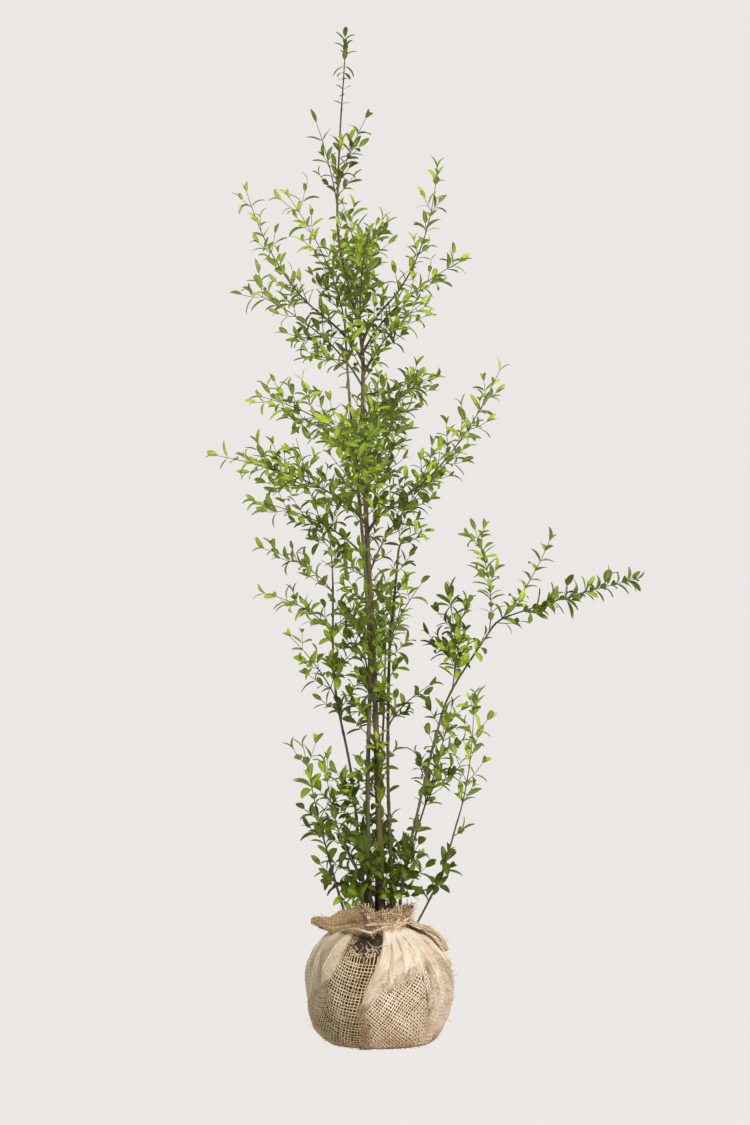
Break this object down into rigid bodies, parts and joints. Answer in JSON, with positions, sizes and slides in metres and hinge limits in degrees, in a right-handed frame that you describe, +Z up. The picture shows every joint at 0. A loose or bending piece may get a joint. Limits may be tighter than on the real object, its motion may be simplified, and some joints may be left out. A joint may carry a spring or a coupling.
{
  "type": "sapling with root ball",
  "caption": "Young multi-stemmed hedge shrub with slim upright stems and sparse leafy shoots, standing on a round root ball wrapped in jute cloth.",
  "frame": {"origin": "centre of the root ball's flat underside", "axes": "+Z up along the stems, +X to the viewer's right in the picture, +Y away from the viewer"},
  "size_m": [0.8566, 0.5113, 1.9768],
  "materials": {
    "wrapped_soil": "coarse weave",
    "jute": "coarse weave",
    "bark": "matt",
    "foliage": "satin"
  },
  "bodies": {
    "root": {"root_ball": "wrapped_soil", "wrap_collar": "jute", "wrap_ear": "jute", "wrap_flap": "jute", "leader": "bark", "second_stem": "bark", "right_upright_stem": "bark", "left_upright_stem": "bark", "arching_stem": "bark", "far_right_stem": "bark", "mid_right_stem": "bark", "left_low_stem": "bark", "left_front_stem": "bark", "back_stem": "bark", "upper_left_bough": "bark", "upper_right_bough": "bark", "mid_right_bough": "bark", "mid_left_bough": "bark", "right_arm": "bark", "tip_spray": "foliage", "leader_left_spray": "foliage", "leader_right_spray": "foliage", "crown_left_spray": "foliage", "upper_left_spray": "foliage", "left_shoulder_spray": "foliage", "crown_right_spray": "foliage", "upper_right_spray": "foliage", "right_shoulder_spray": "foliage", "upper_back_spray": "foliage", "crown_front_spray": "foliage", "right_tuft": "foliage", "mid_right_spray": "foliage", "mid_right_upper_spray": "foliage", "mid_left_arm_spray": "foliage", "mid_left_upper_spray": "foliage", "mid_left_lower_spray": "foliage", "left_column_spray": "foliage", "left_middle_arm_spray": "foliage", "left_thin_arm_spray": "foliage", "mid_back_spray": "foliage", "mid_front_spray": "foliage", "stub_spray": "foliage", "mid_right_lower_spray": "foliage", "centre_right_spray": "foliage", "centre_left_spray": "foliage", "centre_back_spray": "foliage", "left_lower_spray": "foliage", "right_twig_spray": "foliage", "fork_spray": "foliage", "upright_spray": "foliage", "outer_upright_spray": "foliage", "arm_spray": "foliage", "far_right_spray": "foliage", "mid_right_low_spray": "foliage", "left_low_spray": "foliage", "left_front_spray": "foliage", "base_left_spray": "foliage", "base_right_spray": "foliage", "base_front_spray": "foliage", "base_back_spray": "foliage"}
  },
  "joints": []
}
